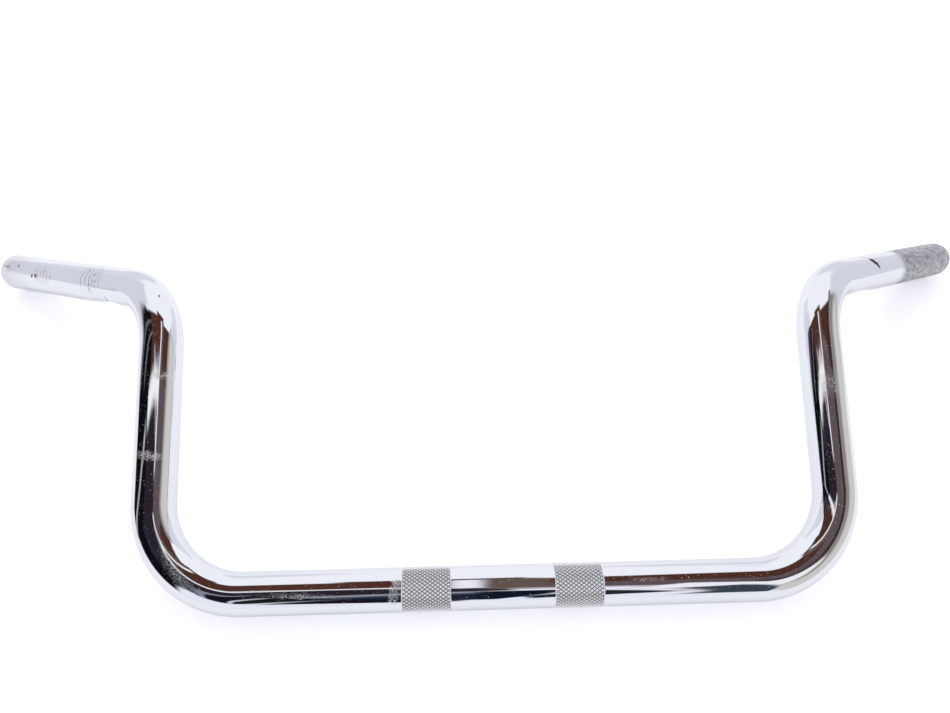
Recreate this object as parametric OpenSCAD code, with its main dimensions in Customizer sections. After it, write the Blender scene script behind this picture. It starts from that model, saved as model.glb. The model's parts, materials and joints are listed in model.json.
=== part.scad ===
// Motorcycle handlebar: one bent steel tube, lying as it comes to rest on a flat surface.
// It touches the surface with its knurled centre section and with both grip ends.
// X runs along the centre section, +Y from the centre section to the grips, +Z up.

/* [Tube] */
// Outside diameter of the tube (one inch)
tube_d = 25.4; // [22:0.1:28.6]
// Thickness of the tube's wall
wall_t = 2.8; // [1.6:0.1:3.6]
// Chamfer on the outer edge of each end
end_chamfer = 0.6; // [0.2:0.1:1.2]

/* [Bends] */
// Distance between the corner points where the risers' axes meet the centre section's
base_w = 412; // [320:1:520]
// Length of a riser between its two corner points
riser_l = 182; // [140:1:320]
// Length of a grip from its corner point to the end of the tube
grip_l = 190; // [165:1:260]
// Angle by which each grip turns back from straight out
grip_sweep = 33.5; // [10:0.5:45]
// Angle by which each grip climbs along the riser's direction
grip_climb = 14; // [0:0.5:25]
// Centre-line radius of the bends below the risers
lower_bend_r = 54; // [40:1:70]
// Centre-line radius of the bends above the risers
upper_bend_r = 44; // [36:1:50]
// How much bending has drawn the wall in from each of its faces
bend_draw = 0.04; // [0.03:0.01:0.1]

/* [Clamp knurls] */
// Distance between the middles of the two knurled bands
clamp_spacing = 88.9; // [70:0.1:110]
// Width of a knurled band
knurl_w = 28.6; // [20:0.1:40]
// Height of the knurl's crests above the tube, which makes each band a little thicker
knurl_rise = 0.2; // [0.1:0.05:0.4]

/* [Wiring dimples] */
// Length of the dimple pressed into the underside of each grip
dimple_l = 44; // [30:1:55]
// Depth of the dimple
dimple_depth = 5; // [2:0.1:6]
// Radius of the dimple's round trough, across the tube
dimple_trough_r = 9; // [7:0.1:11]
// Plain tube between the upper bend and the dimple
dimple_start = 1.5; // [1:0.1:20]

/* [Hidden] */
$fn = 96;

tube_r = tube_d / 2;
bore_r = tube_r - wall_t;
crest_r = tube_r + knurl_rise;

// How far a cut runs past the face that it opens
cut_over = 1;
// How far a bend's drawn wall runs on inside the wall of the straight runs it joins
bend_over = 0.4;

// Each bend turns the tube's axis by this angle
lower_turn = 90;
upper_turn = 90 - grip_climb;

// A bend takes this length off the straight run on each side of its corner point
lower_setback = lower_bend_r * tan(lower_turn / 2);
upper_setback = upper_bend_r * tan(upper_turn / 2);

half_base_l = base_w / 2 - lower_setback;
riser_straight_l = riser_l - lower_setback - upper_setback;
grip_straight_l = grip_l - upper_setback;

// Direction of the right grip in the upright bar's frame: X out, Y up the riser, Z forward
grip_dir = [
    cos(grip_sweep) * cos(grip_climb),
    sin(grip_climb),
    -sin(grip_sweep) * cos(grip_climb)
];

// Axis point where the end chamfer starts: its circle is what touches the surface
touch_s = grip_l - end_chamfer;
touch_point = [base_w / 2, riser_l, 0] + touch_s * grip_dir;

// A vector of the upright bar after the bar has been tipped about X by an angle
function tipped(v, angle) = [
    v.x,
    v.y * cos(angle) - v.z * sin(angle),
    v.y * sin(angle) + v.z * cos(angle)
];

// How far the tube's end reaches past its touching circle's centre along one axis,
// where d is the grip direction's component on that axis
function end_reach(d) = tube_r * sqrt(1 - d * d);

// Height of the grip's lowest point above the centre section's lowest point
function end_gap(angle) =
    tipped(touch_point, angle).z - end_reach(tipped(grip_dir, angle).z) + crest_r;

// The angle at which that height is nothing, found by halving the range between two angles
function rest_angle(low, high, steps) =
    let (middle = (low + high) / 2)
    steps == 0 ? middle
    : end_gap(middle) > 0 ? rest_angle(low, middle, steps - 1)
    : rest_angle(middle, high, steps - 1);

rest_tilt = rest_angle(0, 90, 40);

// Reach of the lying bar along Y, from the centre section's near side to the grips' far side
reach_y = tipped(touch_point, rest_tilt).y + end_reach(tipped(grip_dir, rest_tilt).y);
centre_y = (reach_y - crest_r) / 2;

// The dimple is rolled by a wheel whose rim has the trough's radius
wheel_r = (pow(dimple_l / 2, 2) + pow(dimple_depth, 2)) / (2 * dimple_depth);
dimple_middle = dimple_start + dimple_l / 2;

// A hollow straight run of tube along +Z
module straight_tube(length) {
    difference() {
        cylinder(h = length, r = tube_r);
        translate([0, 0, -cut_over])
            cylinder(h = length + 2 * cut_over, r = bore_r);
    }
}

// A hollow bend that starts along +Z and turns towards +X
module bent_tube(radius, angle) {
    over_angle = bend_over / radius * 180 / PI;
    translate([radius, 0, 0])
        rotate([90, 0, 180])
            rotate([0, 0, -over_angle])
                rotate_extrude(angle = angle + 2 * over_angle)
                    translate([radius, 0])
                        difference() {
                            circle(r = tube_r - bend_draw);
                            circle(r = bore_r + bend_draw);
                        }
}

// Moves its children from the start of a bend to its end
module after_bend(radius, angle) {
    translate([radius, 0, 0])
        rotate([0, angle, 0])
            translate([-radius, 0, 0])
                children();
}

// The wheel that presses the dimple, its rim grown by the given amount
module dimple_wheel(grow) {
    translate([tube_r - dimple_depth + wheel_r, 0, dimple_middle])
        rotate([90, 0, 0])
            rotate_extrude()
                translate([wheel_r - dimple_trough_r, 0])
                    circle(r = dimple_trough_r + grow);
}

// The inside of a grip: the bore, narrowed where the dimple pushes the wall in
module grip_bore() {
    difference() {
        translate([0, 0, -cut_over])
            cylinder(h = grip_straight_l + 2 * cut_over, r = bore_r);
        dimple_wheel(wall_t);
    }
}

// The straight hand grip with its chamfered end and its wiring dimple
module grip() {
    difference() {
        rotate_extrude()
            polygon([
                [0, 0],
                [tube_r, 0],
                [tube_r, grip_straight_l - end_chamfer],
                [tube_r - end_chamfer, grip_straight_l],
                [0, grip_straight_l]
            ]);
        dimple_wheel(0);
        grip_bore();
    }
}

// Half of the centre section, from the middle of the bar to the lower bend.
// The knurled band is the round envelope of its crests.
module half_base() {
    difference() {
        union() {
            cylinder(h = half_base_l, r = tube_r);
            translate([0, 0, (clamp_spacing - knurl_w) / 2])
                cylinder(h = knurl_w, r = crest_r);
        }
        translate([0, 0, -cut_over])
            cylinder(h = half_base_l + 2 * cut_over, r = bore_r);
    }
}

// The right half of the bar, drawn along +Z from the middle of the centre section
module half_bar() {
    half_base();
    translate([0, 0, half_base_l]) {
        bent_tube(lower_bend_r, lower_turn);
        after_bend(lower_bend_r, lower_turn) {
            straight_tube(riser_straight_l);
            translate([0, 0, riser_straight_l])
                rotate([0, 0, 180 + grip_sweep]) {
                    bent_tube(upper_bend_r, upper_turn);
                    after_bend(upper_bend_r, upper_turn)
                        grip();
                }
        }
    }
}

// The bar upright: X along the centre section, Y up the risers, Z forward
module upright_bar() {
    rotate([90, 0, 90])
        half_bar();
    mirror([1, 0, 0])
        rotate([90, 0, 90])
            half_bar();
}

// The whole bar, tipped back until both grip ends and the centre section touch the surface
module handlebar() {
    color("silver")
        translate([0, -centre_y, crest_r])
            rotate([rest_tilt, 0, 0])
                upright_bar();
}

handlebar();
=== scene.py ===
"""Dressed model of a chromed motorcycle handlebar on a pale floor.

The bar is one swept surface: a ring of points is carried along the tube's centre line,
and its radius carries the knurl, the wiring dimples and the eased tube ends.
"""
import json
from collections import namedtuple

import bpy
import numpy as np
from bpy.props import FloatProperty, FloatVectorProperty, IntProperty, PointerProperty
from mathutils import Matrix, Vector


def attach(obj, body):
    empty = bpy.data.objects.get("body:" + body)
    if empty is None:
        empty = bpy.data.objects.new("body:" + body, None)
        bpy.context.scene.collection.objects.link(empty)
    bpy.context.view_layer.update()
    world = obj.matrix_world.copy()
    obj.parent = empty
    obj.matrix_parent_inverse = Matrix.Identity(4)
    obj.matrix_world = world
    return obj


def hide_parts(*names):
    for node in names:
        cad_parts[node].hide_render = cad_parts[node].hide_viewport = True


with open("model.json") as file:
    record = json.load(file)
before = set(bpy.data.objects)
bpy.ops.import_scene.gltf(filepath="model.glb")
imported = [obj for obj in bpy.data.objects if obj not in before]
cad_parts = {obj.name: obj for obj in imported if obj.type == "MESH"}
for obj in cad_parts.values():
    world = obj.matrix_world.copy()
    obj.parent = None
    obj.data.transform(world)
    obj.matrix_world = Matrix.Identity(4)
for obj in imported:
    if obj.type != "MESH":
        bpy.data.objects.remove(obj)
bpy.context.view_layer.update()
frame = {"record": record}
MOUNTS = {mount["name"]: mount for mount in frame["record"]["mounts"]}
NODE = "handlebar"
MM = 0.001

bl_info = {
    "name": "Motorcycle handlebar",
    "version": (1, 0, 0),
    "blender": (4, 5, 0),
    "location": "3D View > Sidebar > Handlebar",
    "description": "Builds a chromed motorcycle handlebar and a pale stage for it",
    "category": "Object",
}


def linear_colour(hex_code):
    """The linear RGB triple of an sRGB hex code such as "C0C4C8"."""
    channels = np.array([int(hex_code[i:i + 2], 16) for i in (0, 2, 4)]) / 255
    low = channels / 12.92
    high = ((channels + 0.055) / 1.055) ** 2.4
    return tuple(np.where(channels <= 0.04045, low, high))


# Sizes and finishes that a user would change


class BarSizes(bpy.types.PropertyGroup):
    """Sizes of the bent tube that the frame doesn't hold"""

    base_width: FloatProperty(
        name="Base width",
        description="Distance between the points where the risers' axes meet the centre section's",
        default=0.412, min=0.3, max=0.6, subtype="DISTANCE", unit="LENGTH",
    )
    lower_bend: FloatProperty(
        name="Lower bend radius",
        description="Centre-line radius of the bends below the risers",
        default=0.054, min=0.03, max=0.09, subtype="DISTANCE", unit="LENGTH",
    )
    upper_bend: FloatProperty(
        name="Upper bend radius",
        description="Centre-line radius of the bends above the risers",
        default=0.044, min=0.03, max=0.09, subtype="DISTANCE", unit="LENGTH",
    )
    wall: FloatProperty(
        name="Wall",
        description="Thickness of the tube's wall",
        default=0.0028, min=0.001, max=0.005, subtype="DISTANCE", unit="LENGTH",
    )
    end_round: FloatProperty(
        name="End rounding",
        description="Radius of the eased outer edge of each tube end",
        default=0.0006, min=0.0002, max=0.0012, subtype="DISTANCE", unit="LENGTH",
    )


class KnurlSizes(bpy.types.PropertyGroup):
    """Sizes of the diamond knurl on the two clamp bands"""

    around: IntProperty(
        name="Diamonds around",
        description="Number of diamonds around the tube",
        default=35, min=20, max=50,
    )
    pitch: FloatProperty(
        name="Diamond length",
        description="Length of one diamond along the tube",
        default=0.003, min=0.002, max=0.005, subtype="DISTANCE", unit="LENGTH",
    )
    depth: FloatProperty(
        name="Groove depth",
        description="Depth of the grooves below the crests",
        default=0.0007, min=0.0002, max=0.001, subtype="DISTANCE", unit="LENGTH",
    )
    flat: FloatProperty(
        name="Worn share",
        description="Share of a full diamond's height that its flat top takes away",
        default=0.3, min=0.0, max=0.6, subtype="FACTOR",
    )


class DimpleSizes(bpy.types.PropertyGroup):
    """Sizes of the wiring dimple under each grip"""

    start: FloatProperty(
        name="Start",
        description="Plain tube between the upper bend and the dimple",
        default=0.0015, min=0.0, max=0.02, subtype="DISTANCE", unit="LENGTH",
    )
    length: FloatProperty(
        name="Length",
        description="Length of the dimple",
        default=0.044, min=0.03, max=0.06, subtype="DISTANCE", unit="LENGTH",
    )
    depth: FloatProperty(
        name="Depth",
        description="Depth of the dimple",
        default=0.005, min=0.001, max=0.007, subtype="DISTANCE", unit="LENGTH",
    )
    trough: FloatProperty(
        name="Trough radius",
        description="Radius of the dimple's round trough across the tube",
        default=0.009, min=0.006, max=0.012, subtype="DISTANCE", unit="LENGTH",
    )
    lip: FloatProperty(
        name="Lip",
        description="Softness of the dimple's rim",
        default=0.0006, min=0.0001, max=0.002, subtype="DISTANCE", unit="LENGTH",
    )


class ChromeFinish(bpy.types.PropertyGroup):
    """Colours and gloss of the plating"""

    plate: FloatVectorProperty(
        name="Plate",
        description="Colour of clean bright chrome plate",
        default=linear_colour("F3F4F8"), size=3, min=0, max=1, subtype="COLOR",
    )
    dull: FloatVectorProperty(
        name="Dull film",
        description="Colour of the plate where grips left a dull film",
        default=linear_colour("7F7E82"), size=3, min=0, max=1, subtype="COLOR",
    )
    # Darkens the bottom of the knurl's grooves, and the rubbed rings under their dirt
    groove_and_ring_tone: FloatVectorProperty(
        name="Groove and ring tone",
        description="Colour of the plate under dirt in the knurl's grooves and in rubbed rings",
        default=linear_colour("64636A"), size=3, min=0, max=1, subtype="COLOR",
    )
    stain: FloatVectorProperty(
        name="Stain",
        description="Colour of the black stains that old grips left",
        default=linear_colour("1D1816"), size=3, min=0, max=1, subtype="COLOR",
    )
    polish: FloatProperty(
        name="Polish",
        description="Roughness of the clean plate",
        default=0.035, min=0.0, max=1.0, subtype="FACTOR",
    )


class StageSizes(bpy.types.PropertyGroup):
    """Camera and floor of the stage"""

    camera_place: FloatVectorProperty(
        name="Camera place",
        description="Where the camera stands",
        default=(-0.0272, -0.2377, 0.4366), size=3, subtype="XYZ", unit="LENGTH",
    )
    camera_yaw: FloatProperty(
        name="Yaw",
        description="Turn of the camera's view from +Y towards +X",
        default=0.0595, subtype="ANGLE", unit="ROTATION",
    )
    camera_pitch: FloatProperty(
        name="Pitch",
        description="Angle by which the camera looks down",
        default=0.991, subtype="ANGLE", unit="ROTATION",
    )
    camera_roll: FloatProperty(
        name="Roll",
        description="Turn of the camera about its view",
        default=0.0319, subtype="ANGLE", unit="ROTATION",
    )
    lens: FloatProperty(
        name="Lens",
        description="Focal length on a 36 mm wide sensor, in millimetres",
        default=26.72, min=10, max=100,
    )
    floor_reach: FloatProperty(
        name="Floor reach",
        description="Half the side of the square floor",
        default=4.0, min=1, max=20, subtype="DISTANCE", unit="LENGTH",
    )


# The tube's centre line


Run = namedtuple("Run", "begin place direction normal axis radius")


def unit(vector):
    """The vector scaled to a length of 1."""
    return vector / np.linalg.norm(vector)


def turned(vectors, axis, angles):
    """Vectors turned about a unit axis by each angle: the part along the axis stays, and the
    rest turns in its plane."""
    cos = np.cos(angles)[:, None]
    sin = np.sin(angles)[:, None]
    along = (vectors @ axis)[:, None] * axis
    return along + cos * (vectors - along) + sin * np.cross(axis, vectors)


def right_half_corners(bar):
    """The middle of the bar, its two right corner points and its right tip.

    The clamp mount gives the centre section's axis and the grip mount the grip's. The riser
    runs from the lower corner point to where the grip's axis is as far out as that point is.
    """
    clamp = MOUNTS["clamp_right"]
    grip = MOUNTS["grip_right"]
    grip_dir = unit(np.array(grip["axis"]))
    grip_middle = np.array(grip["pos_m"])
    half_base = bar.base_width / 2
    corner_low = np.array([half_base, clamp["pos_m"][1], clamp["pos_m"][2]])
    corner_high = grip_middle + grip_dir * (half_base - grip_middle[0]) / grip_dir[0]
    tip = grip_middle + grip_dir * (grip["dims"]["length_mm"] * MM / 2 + bar.end_round)
    return [np.array([0, corner_low[1], corner_low[2]]), corner_low, corner_high, tip]


class CentreLine:
    """Right half of the centre line: straight runs joined by arcs that touch both of them.

    A run holds the length at which it begins, its first point, direction and normal, and for
    an arc its axis and radius. The normals turn with the arcs only, so the rings never twist.
    """

    def __init__(self, corners, radii):
        self.runs = []
        place = corners[0]
        direction = unit(corners[1] - corners[0])
        normal = unit(corners[2] - corners[1])
        normal = unit(normal - (normal @ direction) * direction)
        travelled = 0.0
        for corner, following, radius in zip(corners[1:-1], corners[2:], radii):
            outgoing = unit(following - corner)
            turn = np.arccos(direction @ outgoing)
            setback = radius * np.tan(turn / 2)
            straight = np.linalg.norm(corner - place) - setback
            self.runs.append(Run(travelled, place, direction, normal, None, None))
            travelled += straight
            place = corner - setback * direction
            axis = unit(np.cross(direction, outgoing))
            self.runs.append(Run(travelled, place, direction, normal, axis, radius))
            travelled += radius * turn
            normal = turned(normal[None], axis, np.array([turn]))[0]
            place = corner + setback * outgoing
            direction = outgoing
        last = np.linalg.norm(corners[-1] - place)
        self.runs.append(Run(travelled, place, direction, normal, None, None))
        self.length = travelled + last

    def at(self, lengths):
        """(points, tangents, first normals) at these lengths from the middle of the bar."""
        points = np.zeros((len(lengths), 3))
        tangents = np.zeros_like(points)
        normals = np.zeros_like(points)
        for begin, place, direction, normal, axis, radius in self.runs:
            here = lengths >= begin
            run = lengths[here] - begin
            if axis is None:
                points[here] = place + run[:, None] * direction
                tangents[here] = direction
                normals[here] = normal
                continue
            angles = run / radius
            centre = place + radius * np.cross(axis, direction)
            arm = np.broadcast_to(place - centre, (len(run), 3))
            points[here] = centre + turned(arm, axis, angles)
            tangents[here] = turned(np.broadcast_to(direction, (len(run), 3)), axis, angles)
            normals[here] = turned(np.broadcast_to(normal, (len(run), 3)), axis, angles)
        return points, tangents, normals

    def at_signed(self, lengths):
        """The same for the whole bar: a negative length is the mirror image of its opposite."""
        points, tangents, normals = self.at(np.abs(lengths))
        left = lengths < 0
        mirror = np.array([-1, 1, 1])
        points[left] *= mirror
        tangents[left] *= -mirror
        normals[left] *= mirror
        return points, tangents, normals


# The bar's surface

# Most metres between two rings in each stretch of half the bar: centre section, lower bend,
# riser, upper bend, dimple and the rest of the grip
OUTER_STEPS = (0.012, 0.0018, 0.012, 0.0015, 0.0011, 0.012)
BORE_STEPS = (0.04, 0.004, 0.03, 0.0035, 0.002, 0.03)
# Rings this far outside a knurled band keep its sharp edge from bending the tube's shading
BAND_MARGIN = 0.0002
# Shares of a dimple's length from its middle: it acts in full up to the first, and has faded
# out at the second
DIMPLE_FULL, DIMPLE_REACH = 0.55, 0.75
# What the knurl's flat tops hold as their groove depth, so that they differ from plain tube
TOP_MARK = 0.1


def knurl_height(rows, columns, flat):
    """Height of the knurl from 0 in its grooves to 1 on its tops, at quarters of a diamond.

    Two families of V grooves cross. The height is the smaller of the distances to the nearest
    groove of each, which makes a four-sided pyramid, and its tip is worn flat.
    """
    rising = np.abs((rows[:, None] + columns + 2) % 4 - 2) / 2
    falling = np.abs((rows[:, None] - columns + 2) % 4 - 2) / 2
    return np.minimum(np.minimum(rising, falling) / (1 - flat), 1)


def pushed_in(offset, across, level, floor_level, wheel, rim, lip):
    """How far a rolled dimple pushes the wall in.

    A wheel with a round rim sinks into the tube. Its rim's circle is swept round the wheel's
    axis, so its surface stands at floor + wheel - sqrt((wheel - rim + sqrt(rim^2 - across^2))^2
    - offset^2). The wall gives way by how far it would pass that, softened at the dimple's lip.
    """
    circle = np.sqrt(np.maximum(rim ** 2 - across ** 2, 0))
    reach = np.sqrt(np.maximum((wheel - rim + circle) ** 2 - offset ** 2, 0))
    passed = level - (floor_level + wheel - reach)
    return (passed + np.sqrt(passed ** 2 + lip ** 2)) / 2


def spaced(start, stop, step):
    """Evenly spaced lengths from start to before stop, no further apart than step."""
    count = max(int(np.ceil((stop - start) / step - 1e-6)), 1)
    return np.linspace(start, stop, count, endpoint=False)


class BarRings:
    """The rings that the bar's surface is stretched over, as arrays of one row a ring.

    They run along the outside from the left tip to the right one and back through the bore.
    """

    def __init__(self, scene):
        self.bar, self.knurl, self.dimple = scene.bar_sizes, scene.bar_knurl, scene.bar_dimple
        radii = (self.bar.lower_bend, self.bar.upper_bend)
        self.line = CentreLine(right_half_corners(self.bar), radii)
        self.radius = MOUNTS["grip_right"]["dims"]["r_mm"] * MM
        self.crest = MOUNTS["clamp_right"]["dims"]["r_mm"] * MM
        self.bore = self.radius - self.bar.wall
        half_band = MOUNTS["clamp_right"]["dims"]["length_mm"] * MM / 2
        band_middle = MOUNTS["clamp_right"]["pos_m"][0]
        self.band = (band_middle - half_band, band_middle + half_band)
        self.columns = 4 * self.knurl.around
        self.angles = 2 * np.pi * np.arange(self.columns) / self.columns
        self.begins = [run.begin for run in self.line.runs]
        self.dimple_middle = self.begins[4] + self.dimple.start + self.dimple.length / 2

    def spread(self, start, end, steps):
        """Lengths of the rings from start to before end, with one step for each stretch."""
        dimple_end = self.dimple_middle + self.dimple.length * DIMPLE_REACH
        marks = (start, *self.begins[1:], dimple_end, end)
        return np.concatenate([
            spaced(low, high, step) for low, high, step in zip(marks, marks[1:], steps)
        ])

    def outer_half(self):
        """(lengths, radii, groove depths, rings before the band) right of the middle.

        A groove depth is 0 on the knurl's tops, 1 in its grooves and -1 off the knurl.
        """
        low_edge, high_edge = self.band
        quarters = round((high_edge - low_edge) / (self.knurl.pitch / 4))
        last_before = low_edge - BAND_MARGIN
        before = np.append(spaced(0, last_before, OUTER_STEPS[0]), last_before)
        rows = np.arange(quarters + 1)
        band = np.linspace(low_edge, high_edge, quarters + 1)
        full_end = self.line.length - self.bar.end_round
        after = np.append(self.spread(high_edge + BAND_MARGIN, full_end, OUTER_STEPS), full_end)
        height = knurl_height(rows, np.arange(self.columns), self.knurl.flat)
        inside = ((rows > 0) & (rows < quarters))[:, None]
        worked = self.crest - self.knurl.depth * (1 - height)
        knurled = np.where(inside, worked, self.radius)
        grooves = 1 - height
        plain = [np.full((len(part), self.columns), self.radius) for part in (before, after)]
        blank = [np.zeros_like(part) for part in plain]
        return (
            np.concatenate([before, band, after]),
            np.concatenate([plain[0], knurled, plain[1]]),
            np.concatenate([blank[0] - 1, np.where(inside, grooves, -1), blank[1] - 1]),
            len(before),
        )

    def rings(self):
        """(lengths, radii, grooves, outer share, first ring of the right band) of every ring."""
        lengths, radii, grooves, band_row = self.outer_half()
        swing = np.linspace(0, np.pi / 2, 5)[1:]
        ease = self.bar.end_round
        end_lengths = self.line.length - ease + ease * np.sin(swing)
        end_radii = self.radius - ease + ease * np.cos(swing)
        lengths = np.concatenate([lengths, end_lengths])
        radii = np.concatenate([radii, np.repeat(end_radii[:, None], self.columns, 1)])
        grooves = np.concatenate([grooves, -np.ones((len(swing), self.columns))])
        inner = np.append(self.spread(0, self.line.length, BORE_STEPS), self.line.length)
        bore = np.full((len(inner), self.columns), self.bore)
        blank = -np.ones_like(bore)
        middle = len(lengths) - 1
        parts = [
            (-lengths[:0:-1], radii[:0:-1], grooves[:0:-1], True),
            (lengths, radii, grooves, True),
            (inner[::-1], bore[::-1], blank[::-1], False),
            (-inner[1:], bore[1:], blank[1:], False),
        ]
        return (
            np.concatenate([part[0] for part in parts]),
            np.concatenate([part[1] for part in parts]),
            np.concatenate([part[2] for part in parts]),
            np.concatenate([np.full(len(part[0]), part[3]) for part in parts]),
            middle + band_row,
        )

    def dimple_side(self):
        """Direction from the right grip's axis to its dimple: towards the bend's centre."""
        bend, grip = self.line.runs[3:]
        return np.cross(bend.axis, grip.direction)

    def points(self, lengths, radii, outer):
        """Places of all ring points, an array of (ring, column, 3).

        A point stands at centre + radius * (cos(angle) * normal + sin(angle) * binormal), and in
        a grip it moves against the dimple's side by how far the dimple pushes the wall in.
        """
        centres, tangents, normals = self.line.at_signed(lengths)
        binormals = np.cross(tangents, normals)
        spokes = (
            np.cos(self.angles)[None, :, None] * normals[:, None]
            + np.sin(self.angles)[None, :, None] * binormals[:, None]
        )
        places = centres[:, None] + radii[:, :, None] * spokes
        side = np.tile(self.dimple_side(), (len(lengths), 1))
        side[lengths < 0, 0] *= -1
        level = radii * np.einsum("rck,rk->rc", spokes, side)
        across = np.sqrt(np.maximum(radii ** 2 - level ** 2, 0))
        grow = np.where(outer, 0, self.bar.wall)[:, None]
        wheel = ((self.dimple.length / 2) ** 2 + self.dimple.depth ** 2) / 2 / self.dimple.depth
        offset = (np.abs(lengths) - self.dimple_middle)[:, None]
        give = pushed_in(
            offset, across, level, self.radius - self.dimple.depth - grow,
            wheel + grow, self.dimple.trough + grow, self.dimple.lip,
        )
        share = np.abs(offset) / self.dimple.length
        near = np.clip((DIMPLE_REACH - share) / (DIMPLE_REACH - DIMPLE_FULL), 0, 1)
        give = np.where(level > 0, give, 0) * near
        return places - give[:, :, None] * side[:, None]


def grid_corners(ring_count, column_count, first_row):
    """(ring, column) of each triangle's three corners on a grid that closes on itself.

    Each cell is cut along the diagonal that a knurl groove runs on: from low to high where row
    and column, counted from the knurl's first ring, are both odd or both even. The last column
    keeps its number instead of going back to nothing, so that a map can follow it.
    """
    grid = np.meshgrid(np.arange(ring_count), np.arange(column_count), indexing="ij")
    a = np.stack(grid, -1)
    b, c, d = a + (1, 0), a + (1, 1), a + (0, 1)
    even = ((grid[0] - first_row + grid[1]) % 2 == 0)[..., None, None]
    first = np.where(even, np.stack([a, c, b], 2), np.stack([a, d, b], 2))
    second = np.where(even, np.stack([a, d, c], 2), np.stack([b, d, c], 2))
    return np.stack([first, second], 2).reshape(-1, 3, 2)


def mesh_object(name, points, faces, smooth):
    """A mesh object at the origin from arrays of points and of corner numbers."""
    mesh = bpy.data.meshes.new(name)
    mesh.from_pydata(points.tolist(), [], faces.tolist())
    mesh.polygons.foreach_set("use_smooth", smooth)
    mesh.update()
    piece = bpy.data.objects.new(name, mesh)
    bpy.context.collection.objects.link(piece)
    return piece


def bar_object(scene):
    """The whole bar as one closed skin, with its tube map and its groove depths.

    The map's U is the length along the centre line from the middle of the bar and its V the way
    round the tube, both in metres. A groove depth is 0 off the knurl, grows from its mark on the
    flat tops to 1 in the grooves, and is kept at each point.
    """
    rings = BarRings(scene)
    lengths, radii, grooves, outer, first_row = rings.rings()
    points = rings.points(lengths, radii, outer).reshape(-1, 3)
    corners = grid_corners(len(lengths), rings.columns, first_row)
    row, column = corners[..., 0] % len(lengths), corners[..., 1]
    faces = row * rings.columns + column % rings.columns
    knurled = grooves.reshape(-1)[faces].max(1) >= 0
    piece = mesh_object("Handlebar", points, faces, ~knurled)
    along = lengths[row]
    around = column * (2 * np.pi * rings.radius / rings.columns)
    tube_map = piece.data.uv_layers.new(name="Tube map")
    tube_map.data.foreach_set("uv", np.stack([along, around], -1).ravel())
    depth = piece.data.attributes.new("Groove depth", "FLOAT", "POINT")
    marked = np.where(grooves < 0, 0, np.maximum(grooves, TOP_MARK))
    depth.data.foreach_set("value", marked.ravel())
    return piece


# Materials


def add(tree, kind, values=None, links=None, **settings):
    """A new node of this kind with its settings, socket values and incoming links.

    Sockets go by number where names repeat: a Map Range reads 0, and carries it from the range
    of 1 and 2 to the range of 3 and 4.
    """
    node = tree.nodes.new(kind)
    for name, value in settings.items():
        setattr(node, name, value)
    for socket, value in (values or {}).items():
        node.inputs[socket].default_value = value
    for socket, source in (links or {}).items():
        tree.links.new(source, node.inputs[socket])
    return node


def new_material(name):
    """An empty node material and its tree."""
    material = bpy.data.materials.new(name)
    material.use_nodes = True
    material.node_tree.nodes.clear()
    return material, material.node_tree


def strongest(tree, masks, shares=None):
    """The strongest of several masks at each place, each first weakened to its share."""
    result = None
    for mask, share in zip(masks, shares or [1] * len(masks)):
        if share < 1:
            mask = add(
                tree, "ShaderNodeMath", {1: share}, {0: mask}, operation="MULTIPLY",
            ).outputs[0]
        if result is not None:
            mask = add(
                tree, "ShaderNodeMath", links={0: result, 1: mask}, operation="MAXIMUM",
            ).outputs[0]
        result = mask
    return result


def patch(tree, tube_map, along, around, half_along, half_around, turn=0, edge=0.35):
    """A mask that is 1 in an oval patch of the bar's skin and 0 outside it.

    Its middle is along the centre line and round the tube as the tube map counts them. Sizes
    are in millimetres, the turn in degrees, and edge is the share over which it fades.
    """
    local = add(
        tree, "ShaderNodeMapping",
        {
            "Location": (along * MM, around * MM, 0), "Rotation": (0, 0, np.radians(turn)),
            "Scale": (half_along * MM, half_around * MM, 1),
        },
        {"Vector": tube_map}, vector_type="TEXTURE",
    )
    round_fall = add(
        tree, "ShaderNodeTexGradient", links={0: local.outputs[0]}, gradient_type="SPHERICAL",
    )
    mask = add(
        tree, "ShaderNodeMapRange", {1: 0.0, 2: edge, 3: 0.0, 4: 1.0}, {0: round_fall.outputs[1]},
    )
    return mask.outputs[0]


# Where the plate is worn: middle along and round the bar, half sizes, turn and edge, as patch
# takes them. Scuffs are dull and light, and stains are nearly black.
SCUFFS = (
    (-62, 17, 3.6, 24, 12, 0.6), (-61, 35, 5, 7, 0, 0.8), (-26, 36, 5, 6, 0, 0.8),
    (26, 36, 5, 6, 0, 0.8), (62, 36, 5, 6, 0, 0.8), (-264, 20, 3.5, 10, 8, 0.5),
    (-311, 12, 3, 10, 0, 0.9), (299, 19, 10, 8, 0, 1.2), (-118, 20, 24, 2, 2, 1.0),
    (-190, 19, 22, 4, 8, 1.2), (85, 16, 14, 1.4, 0, 1.0), (132, 8.5, 16, 1.6, 0, 1.0),
)
STAINS = (
    (-491, 29, 2.4, 1.6, 0, 0.5), (-496, 29, 1.3, 2.2, 0, 0.5), (-519, 24, 1.3, 2.2, 0, 0.8),
    (-535, 25.5, 7, 1.2, 0, 1.2), (-404, 41, 1.2, 6, 12, 0.9), (-357, 12.5, 0.9, 0.9, 0, 0.9),
    (420, 21.5, 6, 2.6, 62, 0.3), (413, 14.5, 1.6, 0.8, 0, 0.5), (417, 15.5, 1.2, 0.7, 0, 0.5),
)
RUBBED = (
    (-420, 24, 15, 14, 0, 0.4), (-483, 28, 17, 9, 0, 0.6), (466, 28, 6, 45, 0, 0.5),
)


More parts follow.
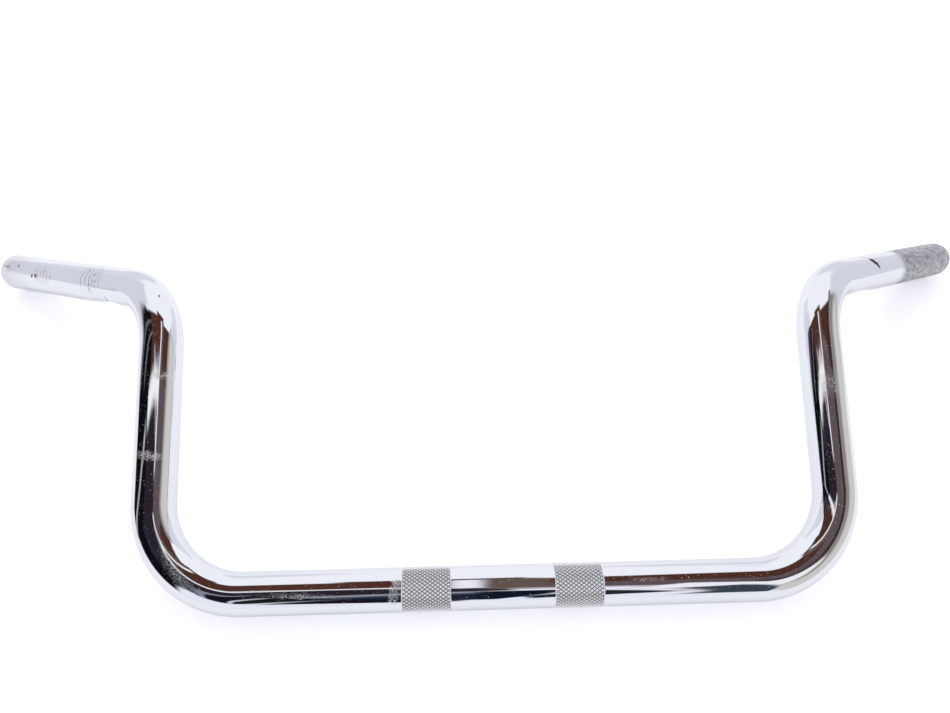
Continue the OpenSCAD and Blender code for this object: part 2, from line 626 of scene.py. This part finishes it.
def bright_chrome(finish):
    """Bright decorative chrome plate over polished and bent steel tube.

    The steel is ground and buffed before plating, so the mirror is clear but wavers a little
    over some millimetres. Clamps and grips left dull scuffs, rubbed rings and black stains,
    fine dust lies on it, and the right end is dull where the throttle sleeve turned.
    """
    material, tree = new_material("Bright chrome plate on polished steel")
    place = add(tree, "ShaderNodeTexCoord").outputs["Object"]
    flat_map = add(tree, "ShaderNodeUVMap", uv_map="Tube map").outputs[0]
    # Ragged outlines of the marks, about 2.5 mm coarse
    ragged = add(
        tree, "ShaderNodeTexNoise", {"Scale": 400.0, "Detail": 3.0}, {"Vector": place},
    )
    shift = add(
        tree, "ShaderNodeVectorMath", {1: (0.5, 0.5, 0.5)}, {0: ragged.outputs[1]},
        operation="SUBTRACT",
    )
    moved = add(
        tree, "ShaderNodeVectorMath", {1: (0.004, 0.004, 0)},
        {0: shift.outputs[0], 2: flat_map}, operation="MULTIPLY_ADD",
    )
    tube_map = moved.outputs[0]
    # Grains about 0.8 mm long, as coarse as the picture shows the finest scuffing
    grain = add(
        tree, "ShaderNodeTexNoise", {"Scale": 1250.0, "Detail": 2.0, "Roughness": 0.6},
        {"Vector": place},
    )
    broken = add(
        tree, "ShaderNodeMapRange", {1: 0.42, 2: 0.6, 3: 0.0, 4: 1.0}, {0: grain.outputs[0]},
    )
    scuffed = add(
        tree, "ShaderNodeMath",
        links={
            0: strongest(tree, [patch(tree, tube_map, *mark) for mark in SCUFFS]),
            1: broken.outputs[0],
        },
        operation="MULTIPLY",
    ).outputs[0]
    stained = strongest(tree, [patch(tree, tube_map, *mark) for mark in STAINS])
    # Rings about 4 mm apart that a clamped perch and a turning grip rubbed in
    rings = add(
        tree, "ShaderNodeTexWave", {"Scale": 75.0, "Distortion": 3.0, "Detail": 1.0},
        {"Vector": tube_map}, wave_type="BANDS", bands_direction="X",
    )
    thin = add(
        tree, "ShaderNodeMapRange", {1: 0.72, 2: 0.95, 3: 0.0, 4: 1.0}, {0: rings.outputs[1]},
    )
    rubbed = strongest(tree, [patch(tree, flat_map, *mark) for mark in RUBBED])
    for mask in (thin, broken):
        rubbed = add(
            tree, "ShaderNodeMath", links={0: rubbed, 1: mask.outputs[0]}, operation="MULTIPLY",
        ).outputs[0]
    # The sleeve's patch goes right round the tube, so only its place along the bar counts
    along = add(tree, "ShaderNodeSeparateXYZ", links={0: tube_map}).outputs[0]
    sleeve = add(tree, "ShaderNodeMapRange", {1: 0.456, 2: 0.466, 3: 0.0, 4: 1.0}, {0: along})
    far_end = add(tree, "ShaderNodeMapRange", {1: -0.50, 2: -0.56, 3: 0.0, 4: 0.5}, {0: along})
    # Its film is smeared in clouds about 7 mm long and half as wide
    streaks = add(tree, "ShaderNodeMapping", {"Scale": (1, 2, 1)}, {"Vector": flat_map})
    smear = add(
        tree, "ShaderNodeTexNoise", {"Scale": 150.0, "Detail": 4.0, "Roughness": 0.65},
        {"Vector": streaks.outputs[0]},
    )
    smeared = add(
        tree, "ShaderNodeMapRange", {1: 0.32, 2: 0.68, 3: 0.5, 4: 1.0}, {0: smear.outputs[0]},
    )
    ends = strongest(tree, [sleeve.outputs[0], far_end.outputs[0]])
    dulled = add(
        tree, "ShaderNodeMath", links={0: ends, 1: smeared.outputs[0]}, operation="MULTIPLY",
    ).outputs[0]
    # The plate is darkened towards the bottom of the knurl's grooves only
    groove = add(tree, "ShaderNodeAttribute", attribute_name="Groove depth").outputs["Fac"]
    groove_bottom_darkening = add(tree, "ShaderNodeMapRange", {1: 0.64, 2: 1.0, 3: 0.0, 4: 1.0}, {0: groove})
    pressed = add(
        tree, "ShaderNodeMapRange", {1: 0.0, 2: TOP_MARK, 3: 0.0, 4: 1.0}, {0: groove},
    )
    # Painted highlight: the knurl's crests count less as metal, so their pale plate colour shows
    # as a diffuse white that stands in for glints
    crest = add(tree, "ShaderNodeMapRange", {1: TOP_MARK, 2: 0.7, 3: 0.9, 4: 0.3}, {0: groove})
    crest = add(
        tree, "ShaderNodeMath", links={0: crest.outputs[0], 1: pressed.outputs[0]},
        operation="MULTIPLY",
    )
    # Dust specks about 0.6 mm wide, larger than real ones so that they show
    dust = add(
        tree, "ShaderNodeTexNoise", {"Scale": 1700.0, "Detail": 0.0}, {"Vector": place},
    )
    specks = add(
        tree, "ShaderNodeMapRange", {1: 0.78, 2: 0.84, 3: 0.0, 4: 0.6}, {0: dust.outputs[0]},
    )
    # Each layer covers the one before it by its mask, and the first covers the clean plate
    colour = add(
        tree, "ShaderNodeMix", {6: (*finish.plate, 1), 7: (*finish.dull, 1)}, {0: dulled},
        data_type="RGBA",
    ).outputs[2]
    for mask, tone in (
        (rubbed, finish.groove_and_ring_tone), (groove_bottom_darkening.outputs[0], finish.groove_and_ring_tone), (stained, finish.stain),
    ):
        colour = add(
            tree, "ShaderNodeMix", {7: (*tone, 1)}, {0: mask, 6: colour}, data_type="RGBA",
        ).outputs[2]
    # A thin film left by wiping, in clouds some 15 mm wide
    film = add(
        tree, "ShaderNodeTexNoise", {"Scale": 65.0, "Detail": 3.0}, {"Vector": place},
    )
    rough = add(
        tree, "ShaderNodeMapRange", {1: 0.4, 2: 0.75, 3: finish.polish, 4: finish.polish + 0.05},
        {0: film.outputs[0]},
    ).outputs[0]
    for mask, level in (
        (pressed.outputs[0], 0.16), (rubbed, 0.4), (scuffed, 0.42), (dulled, 0.38),
        (stained, 0.6),
    ):
        rough = add(
            tree, "ShaderNodeMix", {3: level}, {0: mask, 2: rough}, data_type="FLOAT",
        ).outputs[0]
    # Loose dust and scratches scatter the light, so there the metal counts for less; on the
    # knurl's crests the same makes the painted highlight
    scatter_and_crest_highlight = strongest(
        tree, [specks.outputs[0], scuffed, dulled, stained, crest.outputs[0]],
        [1, 0.35, 0.3, 0.7, 1],
    )
    metal = add(tree, "ShaderNodeMapRange", {1: 0.0, 2: 1.0, 3: 1.0, 4: 0.0}, {0: scatter_and_crest_highlight})
    # Buffing waves about 9 mm long and of the order of 0.01 mm high
    waves = add(
        tree, "ShaderNodeTexNoise", {"Scale": 110.0, "Detail": 1.0, "Roughness": 0.4},
        {"Vector": place},
    )
    wavy = add(
        tree, "ShaderNodeBump", {"Strength": 0.3, "Distance": 0.00006},
        {"Height": waves.outputs[0]},
    )
    scratched = add(
        tree, "ShaderNodeBump", {"Distance": 0.00008},
        {
            "Strength": strongest(tree, [scuffed, rubbed, dulled], [1, 1, 0.12]),
            "Height": grain.outputs[0], "Normal": wavy.outputs[0],
        },
    )
    shader = add(
        tree, "ShaderNodeBsdfPrincipled",
        links={
            "Base Color": colour, "Roughness": rough, "Metallic": metal.outputs[0],
            "Normal": scratched.outputs[0],
        },
    )
    add(tree, "ShaderNodeOutputMaterial", links={"Surface": shader.outputs[0]})
    return material


def paper_floor():
    """Matt white background paper: even, without gloss, showing only soft shadows.

    Where the camera or the chrome's mirror looks at it, it is lifted to the white that the
    overexposed paper of such a picture has, and a shadow on it stays.
    """
    material, tree = new_material("Matt white background paper")
    camera_lift, mirror_lift = 0.4, 0.1
    path = add(tree, "ShaderNodeLightPath").outputs
    mirrored = add(
        tree, "ShaderNodeMath", {1: mirror_lift},
        {0: strongest(tree, [path["Is Glossy Ray"], path["Is Transmission Ray"]])},
        operation="MULTIPLY",
    )
    level = add(
        tree, "ShaderNodeMath", {1: camera_lift},
        {0: path["Is Camera Ray"], 2: mirrored.outputs[0]}, operation="MULTIPLY_ADD",
    )
    matt = add(tree, "ShaderNodeBsdfDiffuse", {"Color": (*linear_colour("F2F3F8"), 1)})
    lift = add(
        tree, "ShaderNodeEmission", {"Color": (*linear_colour("F4F6FF"), 1)},
        {"Strength": level.outputs[0]},
    )
    both = add(tree, "ShaderNodeAddShader", links={0: matt.outputs[0], 1: lift.outputs[0]})
    add(tree, "ShaderNodeOutputMaterial", links={"Surface": both.outputs[0]})
    return material


def reflection_canopy_glow():
    """Glowing skin of the studio canopies, lit by no lamp: its colours are painted reflections
    that the chrome mirrors.

    Where it isn't painted it is cut away.
    """
    material, tree = new_material("Matt painted canopy cloth")
    reflection_paint = add(tree, "ShaderNodeAttribute", attribute_name="Paint")
    # Painted reflection: the patch colour glows by itself at strength 1 instead of being lit
    glow = add(tree, "ShaderNodeEmission", {"Strength": 1.0}, {"Color": reflection_paint.outputs["Color"]})
    gap = add(tree, "ShaderNodeBsdfTransparent")
    cloth = add(
        tree, "ShaderNodeMixShader",
        links={0: reflection_paint.outputs["Alpha"], 1: gap.outputs[0], 2: glow.outputs[0]},
    )
    add(tree, "ShaderNodeOutputMaterial", links={"Surface": cloth.outputs[0]})
    return material


# The stage


# The point that both canopies stand round, and their radii
CANOPY_MIDDLE = (0, -0.05, 0.05)
FAR_RADIUS, NEAR_RADIUS = 3.0, 0.68
# Patches painted on a canopy as painted reflections, the dark and bright bands and glints that the
# chrome shows: middle leaning towards +X and towards +Y, half size in the same order, turn and
# softness of the edge, all in degrees, and colour. A later one covers those before it.
FAR_REFLECTION_PATCHES = (
    (0, 0, 120, 100, 0, 1, "EEF0FA"),
    (64, -14, 34, 44, 0, 4, "D2CFC9"),
    (44, -8, 12, 34, 0, 14, "8B8987"),
    (6, 10, 30, 40, 0, 2, "4B3128"),
    (26, 6, 7, 40, 0, 4, "3A2A26"),
    (-4, -16, 20, 6, 0, 4, "A79EA6"),
)
NEAR_REFLECTION_PATCHES = (
    (0, 66, 130, 40, 0, 1.2, "F7F8FE"),
    (-95, 50, 34, 22, 0, 8, "DFE1EA"),
    (95, 50, 34, 22, 0, 8, "DFE1EA"),
    (-8, 9, 46, 18, 0, 2.5, "4F3027"),
    (26, 27, 18, 9, 0, 3, "F7F8FE"),
    (-67, -11, 23, 29, 0, 3, "0C0B10"),
    (-74, -12, 20, 1.5, 6, 1.5, "B2B1AE"),
    (-66, 9, 22, 0.9, 4, 1.2, "66666E"),
    (-55, 2, 14, 0.7, 6, 1.0, "85858E"),
    (-50, -30, 9, 8, 0, 3, "252A3C"),
    (-20, -27, 26, 14, 0, 3, "2A222B"),
    (20, -20, 18, 11, 0, 4, "5E5257"),
    (-14, -15, 20, 0.9, -27, 1.2, "B4B6C2"),
    (-26, -11.6, 23, 2.2, -5, 2.2, "F8F8F6"),
    (-15, -50, 17, 9, 0, 3, "545866"),
    (-16, -45, 20, 1.6, 4, 1.6, "B0B4C0"),
    (-44, -44, 14, 15, 0, 3, "15121A"),
    (-45, -37, 17, 0.9, 34, 1, "8E94A4"),
    (-47, -49, 15, 0.9, 30, 1, "D0D3DC"),
    (6, -6, 4, 27, 0, 3, "65564F"),
    (-30, -72, 34, 14, 8, 4, "17111A"),
    (-14, -66, 14, 12, 0, 4, "1A2333"),
    (9, -63, 9, 20, 0, 3, "0D1624"),
    (18, -33, 13, 2.4, -8, 2, "C4B0B5"),
    (42, -38, 15, 10, -10, 2, "F6F4F8"),
    (34, -66, 14, 12, -20, 3, "23262B"),
    (58, -52, 22, 6, -26, 3, "3A4350"),
    (-1, -2, 2.2, 22, 0, 2, "F8F8FF"),
    (-38, 27, 18, 8, 8, 3, "F7F8FE"),
    (-81, 24.6, 32, 12, 15, 6, "D9DBE4"),
    (81, 24.6, 32, 12, -15, 6, "D9DBE4"),
)


def painted_reflection_canopy(name, radius, patches):
    """A glowing canopy round the bar that only the chrome's mirror sees: its patches are painted
    reflections.

    Its skin is part of a ball: a point stands at middle + radius * (sin(b) cos(a), sin(a),
    cos(b) cos(a)), where b leans towards +X and a towards +Y. Each patch's cover falls from 1
    inside to 0 over its soft edge, and its colour is mixed in by that share.
    """
    lean_x, lean_y = np.meshgrid(np.linspace(-104, 104, 261), np.linspace(-88, 88, 221))
    b, a = np.radians(lean_x), np.radians(lean_y)
    points = np.stack([np.sin(b) * np.cos(a), np.sin(a), np.cos(b) * np.cos(a)], -1)
    points = points * radius + CANOPY_MIDDLE
    reflection_paint = np.zeros((*lean_x.shape, 4))
    for across, along, half_across, half_along, turn, soft, hex_code in patches:
        cos, sin = np.cos(np.radians(turn)), np.sin(np.radians(turn))
        u = (lean_x - across) * cos + (lean_y - along) * sin
        v = (lean_y - along) * cos - (lean_x - across) * sin
        inside = np.minimum(half_across - np.abs(u), half_along - np.abs(v))
        cover = np.clip(inside / soft + 0.5, 0, 1)[..., None]
        cover = cover * cover * (3 - 2 * cover)
        # Each patch mixes in the colour of a painted reflection
        reflection_paint += cover * (np.array([*linear_colour(hex_code), 1]) - reflection_paint)
    numbers = np.arange(reflection_paint[..., 0].size).reshape(lean_x.shape)
    faces = np.stack([numbers[:-1, :-1], numbers[1:, :-1], numbers[1:, 1:], numbers[:-1, 1:]], -1)
    faces = faces.reshape(-1, 4)
    # Cloth that isn't painted is left out
    faces = faces[reflection_paint[..., 3].ravel()[faces].max(1) > 0]
    canopy = mesh_object(name, points.reshape(-1, 3), faces, np.ones(len(faces), bool))
    layer = canopy.data.attributes.new("Paint", "FLOAT_COLOR", "POINT")
    layer.data.foreach_set("color", reflection_paint.ravel())
    canopy.data.materials.append(reflection_canopy_glow())
    canopy.visible_camera = False
    canopy.visible_diffuse = False
    canopy.visible_shadow = False
    canopy.visible_transmission = False


def stage_camera(stage):
    """The camera, turned from its yaw, pitch and roll."""
    yaw, pitch, roll = stage.camera_yaw, stage.camera_pitch, stage.camera_roll
    forward = np.array([np.sin(yaw) * np.cos(pitch), np.cos(yaw) * np.cos(pitch), -np.sin(pitch)])
    level = np.array([np.cos(yaw), -np.sin(yaw), 0])
    up = np.cross(level, forward)
    right = np.cos(roll) * level + np.sin(roll) * up
    top = np.cos(roll) * up - np.sin(roll) * level
    turn = Matrix(np.stack([right, top, -forward], 1).tolist()).to_4x4()
    lens = bpy.data.cameras.new("Camera")
    lens.lens, lens.sensor_width = stage.lens, 36
    lens.clip_start, lens.clip_end = 0.01, 50
    camera = bpy.data.objects.new("Camera", lens)
    camera.matrix_world = Matrix.Translation(stage.camera_place) @ turn
    bpy.context.collection.objects.link(camera)
    bpy.context.scene.camera = camera


def stage_world():
    """An even white room: it lights at a plain level and shows as white behind the floor."""
    world = bpy.data.worlds.new("White room")
    world.use_nodes = True
    tree = world.node_tree
    tree.nodes.clear()
    path = add(tree, "ShaderNodeLightPath").outputs
    seen = strongest(tree, [
        path["Is Camera Ray"], path["Is Glossy Ray"], path["Is Transmission Ray"],
    ])
    strength = add(tree, "ShaderNodeMapRange", {1: 0.0, 2: 1.0, 3: 0.8, 4: 1.0}, {0: seen})
    white = add(tree, "ShaderNodeBackground", {"Color": (1, 1, 1, 1)}, {1: strength.outputs[0]})
    add(tree, "ShaderNodeOutputWorld", links={"Surface": white.outputs[0]})
    bpy.context.scene.world = world


def stage_lamp(name, place, size, power):
    """A soft square lamp that points at the middle of the floor and isn't mirrored."""
    light = bpy.data.lights.new(name, "AREA")
    light.shape, light.size, light.energy = "SQUARE", size, power
    lamp = bpy.data.objects.new(name, light)
    aim = (-Vector(place)).to_track_quat("-Z", "Y")
    lamp.matrix_world = Matrix.Translation(place) @ aim.to_matrix().to_4x4()
    lamp.visible_glossy = False
    bpy.context.collection.objects.link(lamp)


# Operators and panel


class HANDLEBAR_OT_bar(bpy.types.Operator):
    """Build the bent, knurled and dimpled tube"""

    bl_idname = "handlebar.bar"
    bl_label = "Build the bar"

    def execute(self, context):
        piece = bar_object(context.scene)
        piece.data.materials.append(bright_chrome(context.scene.bar_chrome))
        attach(piece, "root")
        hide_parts(NODE)
        return {"FINISHED"}


class HANDLEBAR_OT_stage(bpy.types.Operator):
    """Set up the floor, the canopies, the room, the lamp and the camera"""

    bl_idname = "handlebar.stage"
    bl_label = "Set the stage"

    def execute(self, context):
        stage = context.scene.bar_stage
        reach = stage.floor_reach
        corners = np.array([[-1, -1, 0], [1, -1, 0], [1, 1, 0], [-1, 1, 0]]) * reach
        floor = mesh_object("Floor", corners, np.array([[0, 1, 2, 3]]), [False])
        floor.data.materials.append(paper_floor())
        painted_reflection_canopy("Far canopy", FAR_RADIUS, FAR_REFLECTION_PATCHES)
        painted_reflection_canopy("Near canopy", NEAR_RADIUS, NEAR_REFLECTION_PATCHES)
        context.scene.view_settings.view_transform = "Standard"
        stage_world()
        stage_lamp("Soft lamp", place=(-0.2, 0.9, 1.4), size=0.8, power=5)
        stage_camera(stage)
        return {"FINISHED"}


class HANDLEBAR_PT_panel(bpy.types.Panel):
    """Sizes, finish and steps of the handlebar"""

    bl_idname = "HANDLEBAR_PT_panel"
    bl_label = "Handlebar"
    bl_space_type = "VIEW_3D"
    bl_region_type = "UI"
    bl_category = "Handlebar"

    def draw(self, context):
        column = self.layout.column()
        for group in (name for name, _ in GROUPS):
            sizes = getattr(context.scene, group)
            for name in sizes.bl_rna.properties.keys():
                if name not in ("rna_type", "name"):
                    column.prop(sizes, name)
        for step in STEPS:
            column.operator(step.bl_idname)


GROUPS = (
    ("bar_sizes", BarSizes),
    ("bar_knurl", KnurlSizes),
    ("bar_dimple", DimpleSizes),
    ("bar_chrome", ChromeFinish),
    ("bar_stage", StageSizes),
)
STEPS = (HANDLEBAR_OT_bar, HANDLEBAR_OT_stage)


def register():
    for name, group in GROUPS:
        bpy.utils.register_class(group)
        setattr(bpy.types.Scene, name, PointerProperty(type=group))
    for kind in (*STEPS, HANDLEBAR_PT_panel):
        bpy.utils.register_class(kind)


def unregister():
    for kind in (HANDLEBAR_PT_panel, *STEPS[::-1]):
        bpy.utils.unregister_class(kind)
    for name, group in GROUPS[::-1]:
        delattr(bpy.types.Scene, name)
        bpy.utils.unregister_class(group)


def main():
    """Build everything through the operators."""
    register()
    bpy.ops.handlebar.bar()
    bpy.ops.handlebar.stage()
    bpy.context.view_layer.update()


if __name__ == "__main__":
    main()
